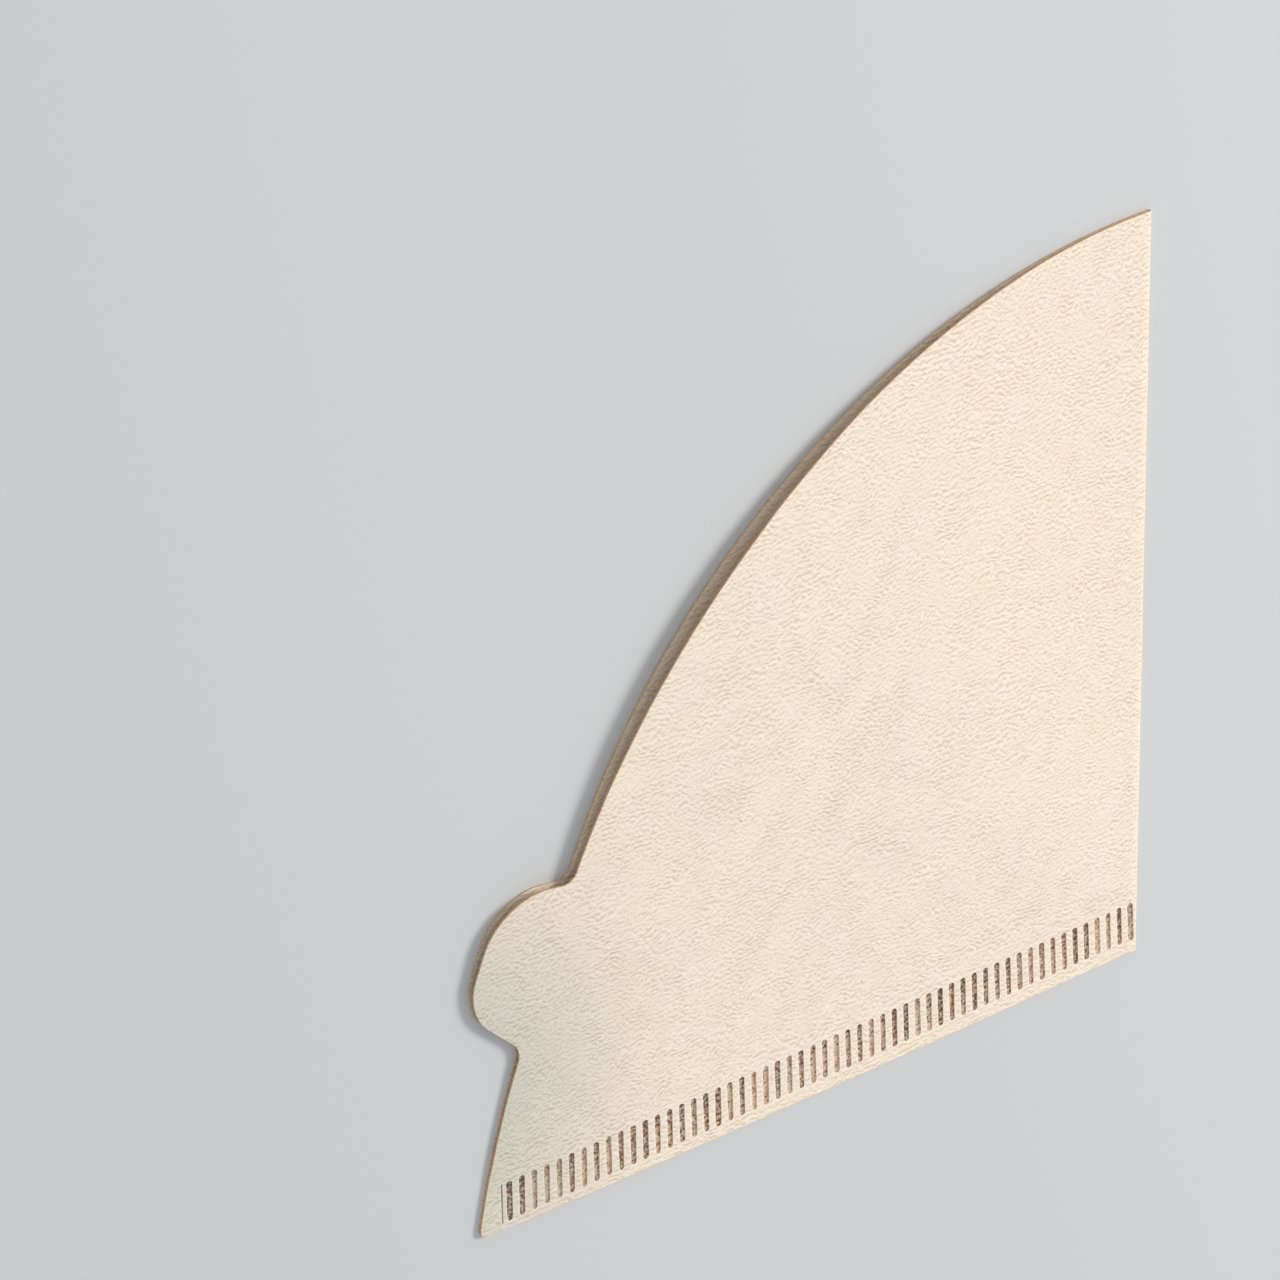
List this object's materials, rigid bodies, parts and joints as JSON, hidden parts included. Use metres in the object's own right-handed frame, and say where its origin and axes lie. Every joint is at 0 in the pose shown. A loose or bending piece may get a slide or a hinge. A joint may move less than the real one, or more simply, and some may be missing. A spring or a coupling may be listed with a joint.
{
  "type": "paper coffee filter",
  "caption": "Flat-folded cone filter of creped natural paper, with a crimped seam along one side, an open mouth along its curved edge and a tab for opening it.",
  "frame": {"origin": "middle of the bounding box, on the surface that the lower ply lies on", "axes": "+X along the crimped seam towards the apex, +Y along the fold towards its open end, +Z out of the upper ply"},
  "size_m": [0.1144, 0.1144, 0.0027],
  "materials": {
    "filter_paper": "matt, finely creped"
  },
  "bodies": {
    "root": {"folded_filter": "filter_paper"}
  },
  "joints": []
}
